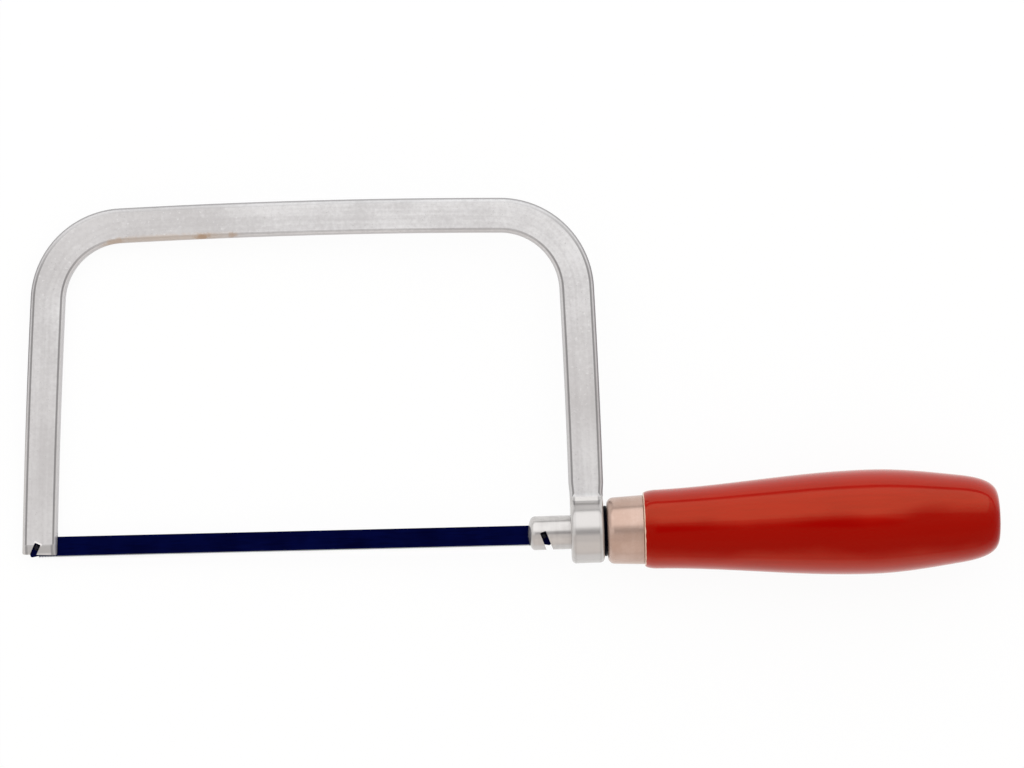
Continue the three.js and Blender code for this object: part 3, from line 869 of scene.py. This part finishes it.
def formEye(neck, filletX, filletY):  # the eye and the neck that flares into it
    half, steps = bar["thickness"] / 2, bar["filletSteps"]
    meet = math.degrees(math.atan2(filletY, filletX))
    path = [(half, neck.y), (half, filletY), (filletX, filletY, meet, steps),
            (0, 0, -180 - 2 * meet, bar["eyeSteps"]), (-filletX, filletY, meet, steps),
            (-half, neck.y)]
    piece = thicken(drawLine("eye", path), bar["width"])
    work(piece)
    piece.rotation_euler.y = math.pi / 2
    settle()
    side = bar["width"] / 2
    work(piece, "EDIT")

    def onRim(edge):
        first, second = (vertex.co for vertex in edge.verts)
        atSide = near(abs(first.x), side) and near(first.x, second.x)
        return atSide and not (near(first.y, neck.y) and near(second.y, neck.y))

    pick("EDGE", onRim)
    bpy.ops.mesh.bevel(offset=bar["edgeRound"], segments=bar["roundSteps"], affect="EDGES")
    inset = (bar["width"] - bar["eyeWidth"]) / 2
    rounded, top = side - bar["edgeRound"] - saw["slack"], filletY + saw["slack"]
    for way in (1, -1):               # the eye is faced off a little narrower than the bar
        pick("VERT", lambda vertex: vertex.co.x * way > rounded and vertex.co.y < top)
        bpy.ops.transform.translate(value=(-way * inset, 0, 0))
    pick("FACE", lambda face: all(near(vertex.co.y, neck.y) for vertex in face.verts))
    bpy.ops.mesh.delete(type="ONLY_FACE")
    return piece


def makeFrame():
    filletX = bar["thickness"] / 2 + bar["neckFillet"]
    filletY = math.sqrt((bar["eyeRadius"] + bar["neckFillet"]) ** 2 - filletX ** 2)
    neck = Vector((0, filletY + 2 * bar["edgeRound"]))
    piece = sweepBar(neck)
    eye = formEye(neck, filletX, filletY)
    work(piece)
    eye.select_set(True)
    bpy.ops.object.join()
    work(piece, "EDIT")
    weldUp(bar["seam"])
    side, over, bore = bar["eyeWidth"] / 2, bar["overrun"], bar["boreRadius"]
    mouth = bore + bar["boreChamfer"] + over
    inner = side - bar["boreChamfer"]
    path = [(-side - over, 0), (-side - over, mouth), (-inner, bore), (inner, bore),
            (side + over, mouth), (side + over, 0)]
    cutAway(piece, turnRound(drawLine("boreCutter", path)))
    footX, footY = bar["foot"]
    cutAway(piece, slit(footX - bar["width"], footX + bar["width"], footY - over, bar["slitTop"]))
    depth = bar["thickness"] + over
    cutAway(piece, pinNotch(saw["frontPin"], bar["notchSlant"], 1, bar["notchRun"], depth))
    layDown(piece, "frame", "frame", frameSteel())


blade = {
    "pinSpacing": 145.5,
    "pastPin": 2.0,
    "height": 5.9,
    "thickness": 0.65,
    "endRound": 0.8,
    "endSteps": 6,
    "pitch": 25.4 / 32,
    "toothDepth": 0.5,
    "faceLean": 0.06,
    "endMargin": 2.5,
    "wave": 8,                        # teeth in one wave of the set
    "set": 0.1,
    "tilt": -0.638,
    "holeFit": 0.05,
    "holeDepth": 4.0,
    "toothWeld": 0.001,
    "smooth": 20.0,
}


def makeBlade():
    half, pitch = blade["height"] / 2, blade["pitch"]
    front, rear = -blade["pastPin"], blade["pinSpacing"] + blade["pastPin"]
    count = int((rear - front - 2 * blade["endMargin"]) / pitch)
    first = (front + rear - count * pitch) / 2
    gullet = blade["toothDepth"] - half
    # one tooth, up to the back of the blade
    piece = addShape("sawBlade", "plane", (pitch, half - gullet, 1), size=1,
                     location=(first + pitch / 2, (half + gullet) / 2, 0))
    work(piece, "EDIT")
    pick("EDGE", lambda edge: all(near(vertex.co.y, gullet) for vertex in edge.verts))
    bpy.ops.mesh.subdivide(number_cuts=1)
    pick("VERT", lambda vertex: near(vertex.co.y, gullet) and near(vertex.co.x, first + pitch / 2))
    bpy.ops.transform.translate(value=(blade["faceLean"] - pitch / 2, -blade["toothDepth"], 0))
    apply(piece, "ARRAY", count=count, use_relative_offset=False, use_constant_offset=True,
          constant_offset_displace=(pitch, 0, 0), use_merge_vertices=True,
          merge_threshold=blade["toothWeld"])
    work(piece, "EDIT")
    for edgeX, endX in ((first, front), (first + count * pitch, rear)):
        pick("EDGE", lambda edge: all(near(vertex.co.x, edgeX) for vertex in edge.verts))
        extrude((endX - edgeX, 0, 0))
        # the plain end is as deep as the points of the teeth
        pick("VERT", lambda vertex: near(vertex.co.x, endX) and near(vertex.co.y, gullet))
        bpy.ops.transform.translate(value=(0, -blade["toothDepth"], 0))
        pick("VERT", lambda vertex: near(vertex.co.x, endX))
        bpy.ops.mesh.bevel(offset=blade["endRound"], segments=blade["endSteps"], affect="VERTICES")
    selectAll()
    bpy.ops.transform.translate(value=(0, 0, -blade["thickness"] / 2))
    extrude((0, 0, blade["thickness"]))
    weldUp()

    def tooth(vertex):                # number of the tooth whose point this is, or None
        isPoint = near(vertex.co.y, -half) and first < vertex.co.x < first + count * pitch
        return round((vertex.co.x - first - blade["faceLean"]) / pitch) if isPoint else None

    def inPhase(number, phase):
        return number is not None and number % blade["wave"] == phase

    for phase in range(blade["wave"]):
        shift = blade["set"] * math.sin(2 * math.pi * phase / blade["wave"])
        pick("VERT", lambda vertex: inPhase(tooth(vertex), phase))
        bpy.ops.transform.translate(value=(0, 0, shift))
    for x in (0, blade["pinSpacing"]):
        hole = addShape("holeCutter", "cylinder", vertices=saw["pinSides"], location=(x, 0, 0),
                        radius=saw["pinRadius"] + blade["holeFit"], depth=blade["holeDepth"])
        cutAway(piece, hole)
    hangBlade(piece)
    layDown(piece, "blade", "blade", bladeSteel(), blade["smooth"])


def hangBlade(piece):                 # from its front pin, a little lower at the handle
    work(piece)
    piece.rotation_euler.z = math.radians(blade["tilt"])
    piece.location = (saw["frontPin"][0], saw["frontPin"][1], 0)
    settle()


pin = {"length": 4.2, "round": 0.3, "roundSteps": 4}


def makePins():
    steel = fittingMetal("pinSteel", pinLook)
    end = pin["length"] / 2
    pins = (("frontPin", "blade_pin_front", 0), ("rearPin", "blade_pin_rear", blade["pinSpacing"]))
    for name, node, x in pins:
        piece = addShape(name, "cylinder", vertices=saw["pinSides"], radius=saw["pinRadius"],
                         depth=pin["length"], location=(x, 0, 0))
        work(piece, "EDIT")
        pick("EDGE", lambda edge: all(near(abs(vertex.co.z), end) for vertex in edge.verts))
        bpy.ops.mesh.bevel(offset=pin["round"], segments=pin["roundSteps"], affect="EDGES")
        hangBlade(piece)
        layDown(piece, "blade", node, steel)


holder = {
    "radius": 4.85,
    "nose": -17.05,
    "domeRadius": 11.0,
    "domeHalf": 3.9,
    "shoulder": 3.25,
    "shoulderChamfer": 0.3,
    "core": 2.24,
    "tailEnd": 20.95,
    "tailChamfer": 0.6,
    "slitEnd": -6.9,
    "notchSlant": 19.5,
    "threadFrom": 5.35,
    "threadTurns": 13,
    "threadPitch": 1.0,
    "threadFoot": 1.8,                # the ridge starts inside the core
    "threadRoot": 2.39,
    "threadCrest": 3.0,
    "threadFlank": 0.31,
    "threadFlat": 0.13,
    "threadSteps": 32,
    "domeSteps": 12,
}


def threadRidge():                    # the thread's ridge, wound along the tail
    h = holder
    foot, root, crest = h["threadFoot"], h["threadRoot"], h["threadCrest"]
    start = h["threadFrom"]
    rise = start + h["threadFlank"]
    fall = rise + h["threadFlat"]
    end = fall + h["threadFlank"]
    path = [(start, foot), (start, root), (rise, crest), (fall, crest), (end, root), (end, foot),
            (start, foot)]
    ridge = work(drawLine("ridge", path), "EDIT")
    weldUp()
    apply(ridge, "SCREW", axis="X", angle=2 * math.pi, screw_offset=h["threadPitch"],
          iterations=h["threadTurns"], steps=h["threadSteps"], render_steps=h["threadSteps"],
          use_merge_vertices=False)
    work(ridge, "EDIT")
    selectAll()
    bpy.ops.mesh.fill_holes(sides=0)
    weldUp()
    return ridge


def makeHolder():
    h = holder
    sweep = math.degrees(math.asin(h["domeHalf"] / h["domeRadius"]))
    turn = math.radians(sweep)
    domeX = h["nose"] + h["domeRadius"] * (1 - math.cos(turn))
    edge = (h["radius"] - h["domeHalf"]) / (1 - math.sin(turn))   # rounds on into the side
    edgeX = domeX + edge * math.cos(turn)
    chamfer, tail = h["shoulderChamfer"], h["tailChamfer"]
    path = [(h["nose"], 0), (h["nose"] + h["domeRadius"], 0, -sweep, h["domeSteps"]),
            (edgeX, h["radius"] - edge, sweep - 90), (h["shoulder"] - chamfer, h["radius"]),
            (h["shoulder"], h["radius"] - chamfer), (h["shoulder"], h["core"]),
            (h["tailEnd"] - tail, h["core"]), (h["tailEnd"], h["core"] - tail), (h["tailEnd"], 0)]
    piece = turnRound(drawLine("holder", path))
    ridge = threadRidge()
    apply(piece, "BOOLEAN", object=ridge, operation="UNION", solver="EXACT")
    bpy.data.objects.remove(ridge)
    reach = h["radius"] + bar["overrun"]
    cutAway(piece, slit(h["nose"] - bar["overrun"], h["slitEnd"], -reach, reach))
    cutAway(piece, pinNotch(saw["rearPin"], h["notchSlant"], -1, 2 * reach, 2 * reach))
    layDown(piece, "holder", "blade_holder", holderSteel())


washer = {"from": 4.85, "to": 5.55, "radius": 7.25, "round": 0.15}


def makeWasher():
    w, hole = washer, saw["tailHole"]
    rounded = w["radius"] - w["round"]
    path = [(w["from"], hole), (w["from"], rounded), (w["from"] + w["round"], rounded, -90),
            (w["to"] - w["round"], w["radius"]), (w["to"] - w["round"], rounded, -90),
            (w["to"], hole), (w["from"], hole)]
    piece = turnRound(drawLine("washer", path))
    layDown(piece, "frame", "thrust_washer", fittingMetal("blackWasher", washerLook))


ferrule = {
    "from": 5.65,
    "to": 16.1,
    "noseRadius": 9.45,
    "rearRadius": 9.95,
    "round": 2.0,
    "roundSteps": 12,
    "wall": 0.9,
    "endWall": 1.2,
    "lip": 0.15,
    "turnSteps": 128,
}


def makeFerrule():
    f = ferrule
    slope = (f["rearRadius"] - f["noseRadius"]) / (f["to"] - f["from"])
    roundX = f["from"] + f["round"]
    outer = f["noseRadius"] + slope * f["round"]
    inRound = f["round"] - f["wall"]
    wallX = f["from"] + f["endWall"]
    path = [(f["from"], saw["tailHole"]), (f["from"], outer - f["round"]),
            (roundX, outer - f["round"], -90, f["roundSteps"]), (f["to"] - f["lip"], f["rearRadius"]),
            (f["to"], f["rearRadius"] - f["lip"]), (f["to"], f["rearRadius"] - f["wall"]),
            (wallX + inRound, outer - f["wall"]), (wallX + inRound, outer - f["wall"] - inRound, 90),
            (wallX, saw["tailHole"]), (f["from"], saw["tailHole"])]
    piece = turnRound(drawLine("ferruleCap", path), f["turnSteps"])
    layDown(piece, "handle", "ferrule", ferruleMetal())


grip = {
    "shoulder": (16.2, 10.35),
    "neck": (20.4, 11.35),
    "belly": (81.0, 15.01),
    "taper": (107.0, 12.6),
    "butt": (117.99, 6.5),
    "neckSlope": 0.025,
    "taperSlope": -0.136,
    "pull": 0.35,
    "buttPull": 0.6,
    "buttRound": (-0.35, 3.6),
    "shoulderPull": 0.5523,
    "curveSteps": 28,
    "tenonFrom": 6.95,
    "tenonNose": 8.565,
    "tenonRear": 8.95,
    "tenonRound": 1.1,
    "tenonRoundSteps": 6,
    "tenonStep": 0.1,
    "pocketFlats": 10.3,
    "pocketEnd": 12.05,
    "boreEnd": 22.95,
    "boreTip": 1.6,
    "boreSteps": 48,
    "turnSteps": 144,
}


def gripCurve(start, startHandle, endHandle, end):
    points = interpolate_bezier(start, startHandle, endHandle, end, grip["curveSteps"])
    return [(point.x, point.y) for point in points[1:]]


def gripOutline():                    # shoulder, slim neck, belly, taper and round butt
    g = grip
    shoulder, neck, belly, taper, butt = (Vector(g[key]) for key in
                                          ("shoulder", "neck", "belly", "taper", "butt"))
    slope = Vector((1, g["taperSlope"]))
    rise, run = Vector((0, neck.y - shoulder.y)), Vector((neck.x - shoulder.x, 0))
    long, short = Vector((g["pull"] * (belly.x - neck.x), 0)), g["pull"] * (taper.x - belly.x)
    end = g["buttPull"] * (butt.x - taper.x)
    pull = g["shoulderPull"]
    path = gripCurve(shoulder, shoulder + rise * pull, neck - run * pull, neck)
    path += gripCurve(neck, neck + long + Vector((0, g["neckSlope"] * long.x)), belly - long, belly)
    path += gripCurve(belly, belly + Vector((short, 0)), taper - slope * short, taper)
    path += gripCurve(taper, taper + slope * end, butt + Vector(g["buttRound"]), butt)
    return path


def makeHandle():
    g = grip
    nose, rounded = g["tenonFrom"], g["tenonNose"] - g["tenonRound"]
    rear = g["shoulder"][0] - g["tenonStep"]
    path = [(nose, 0), (nose, rounded), (nose + g["tenonRound"], rounded, -90, g["tenonRoundSteps"]),
            (rear, g["tenonRear"]), (g["shoulder"][0], g["tenonRear"]), g["shoulder"]]
    path += gripOutline() + [(g["butt"][0], 0)]
    piece = turnRound(drawLine("handleGrip", path), g["turnSteps"])
    mouth, end = nose - bar["overrun"], g["pocketEnd"]
    pocket = addShape("pocketCutter", "cylinder", vertices=6, radius=g["pocketFlats"] / math.sqrt(3),
                      depth=end - mouth, rotation=(0, math.pi / 2, math.pi / 6),
                      location=((end + mouth) / 2, 0, 0))
    cutAway(piece, pocket)
    bore = [(mouth, 0), (mouth, saw["tailHole"]), (g["boreEnd"], saw["tailHole"]),
            (g["boreEnd"] + g["boreTip"], 0)]
    cutAway(piece, turnRound(drawLine("tailBore", bore), g["boreSteps"]))
    layDown(piece, "handle", "handle", handleLacquer())


def finishNut():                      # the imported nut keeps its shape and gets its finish
    node = frame["nodes"]["tension_nut"]
    node.data.materials.clear()
    node.data.materials.append(fittingMetal("zincNut", nutLook))


makeFrame()
makeBlade()
makePins()
makeHolder()
makeWasher()
makeFerrule()
makeHandle()
finishNut()
print("pieces done")

studio = {
    "floorSize": 6.0,
    "floorDrop": 0.00005,
    "floorGrey": 0.97,
    "floorGlow": 0.93,
    "walls": (0.95, 0.95, 0.95, 1),
    "lowWalls": (0.8, 0.75, 0.72, 1),   # dimmer and warmer on the side of the blade
    "lowSide": (-0.22, -0.03),
    "skirting": (0.3, 0.3, 0.3, 1),   # a dark strip behind the saw, just above the floor
    "skirtingTop": (0.08, 0.15),
    "skirtingSide": (0.1, 0.4),
    "gap": (0.25, 0.24, 0.25, 1),     # the dim opening above, where the camera looks in
    "gapCentre": (0.0, 0.0, 1.0),
    "gapEdge": (math.cos(math.radians(14)), math.cos(math.radians(5))),
    "boxes": [                        # elevation, bearing, size along and across, radiance, tint
        (43.0, 90.0, (2.6, 1.25), 0.6, (1.0, 1.0, 1.0)),
        (30.0, -90.0, (2.6, 0.8), 0.15, (1.0, 0.9, 0.8)),
    ],
    "boxDistance": 1.0,
    "pixelsPerMillimetre": 3.484,     # at the middle of the saw
    "imageWidth": 1024,
    "sensor": 36.0,
    "distance": 1300.0,
    "nearest": 0.01,
    "aim": (-20.15, 43.07),
    "roll": 2.0,
}


def seenRays(start):                  # 1 for what the camera sees, itself or in a reflection
    def ray(name):
        return start.node("LightPath", None, None, name)
    return ray("Is Camera Ray").most(ray("Is Glossy Ray")).most(ray("Is Transmission Ray"))


def makeFloor():
    floor = addShape("floor", "plane", size=studio["floorSize"], location=(0, 0, -studio["floorDrop"]))
    material = bpy.data.materials.new("paleFloor")
    start = emptyTree(material)
    grey = studio["floorGrey"]
    paper = start.node("BsdfDiffuse", None, {"Color": (grey, grey, grey, 1)})
    glow = start.node("Emission", None, {"Color": (1, 1, 1, 1), "Strength": 1.0})
    both = start.node("MixShader", None, {0: seenRays(start) * studio["floorGlow"], 1: paper, 2: glow})
    start.node("OutputMaterial", None, {"Surface": both})
    floor.data.materials.append(material)


def makeRoom():                       # what the saw reflects; the camera itself sees white
    world = bpy.data.worlds.new("studio")
    bpy.context.scene.world = world
    start = emptyTree(world)
    direction = start.node("TexCoord", None, None, "Generated")
    upward = start.node("VectorMath", {"operation": "DOT_PRODUCT"},
                        {0: direction, 1: studio["gapCentre"]}, "Value")
    sideways, height = direction.parts()[1:]
    walls = sideways.rise(*studio["lowSide"]).between(studio["lowWalls"], studio["walls"])
    skirting = sideways.rise(*studio["skirtingSide"]) * (1 - height.rise(*studio["skirtingTop"]))
    walls = skirting.between(walls, studio["skirting"])
    tent = upward.rise(*studio["gapEdge"]).between(walls, studio["gap"])
    room = start.node("Background", None, {"Color": tent})
    white = start.node("Background", None, {"Color": (1, 1, 1, 1)})
    camera = start.node("LightPath", None, None, "Is Camera Ray")
    both = start.node("MixShader", None, {0: camera, 1: room, 2: white})
    start.node("OutputWorld", None, {"Surface": both})


def makeLamps():
    for number, (elevation, bearing, size, radiance, tint) in enumerate(studio["boxes"]):
        tilt, side = math.radians(elevation), math.sin(math.radians(bearing))
        place = Vector((0, side * math.cos(tilt), math.sin(tilt))) * studio["boxDistance"]
        aim = (side * (math.pi / 2 - tilt) * -1, 0, 0)
        bpy.ops.object.light_add(type="AREA", location=place, rotation=aim)
        lamp = bpy.context.object
        lamp.name = "softbox" + str(number + 1)
        lamp.data.shape = "RECTANGLE"
        lamp.data.size, lamp.data.size_y = size
        lamp.data.energy = radiance * math.pi * size[0] * size[1]
        lamp.data.color = tint
        lamp.visible_camera = False


def makeCamera():                     # above the saw, a little rolled
    bpy.ops.object.camera_add()
    camera = bpy.context.object
    camera.name = "photoView"
    reach = studio["pixelsPerMillimetre"] * studio["distance"] / studio["imageWidth"]
    camera.data.lens = reach * studio["sensor"]
    camera.data.sensor_width = studio["sensor"]
    camera.data.clip_start = studio["nearest"]
    aim = Vector((studio["aim"][0], studio["aim"][1], studio["distance"])) * millimetre
    level = Matrix.Translation(eyeCentre) @ Matrix.Rotation(-lieAngle, 4, "Y")
    camera.matrix_world = (level @ Matrix.Translation(aim)
                           @ Matrix.Rotation(math.radians(-studio["roll"]), 4, "Z"))
    bpy.context.scene.camera = camera
    bpy.context.scene.view_settings.view_transform = "Standard"


makeFloor()
makeRoom()
makeLamps()
makeCamera()
print("studio done")
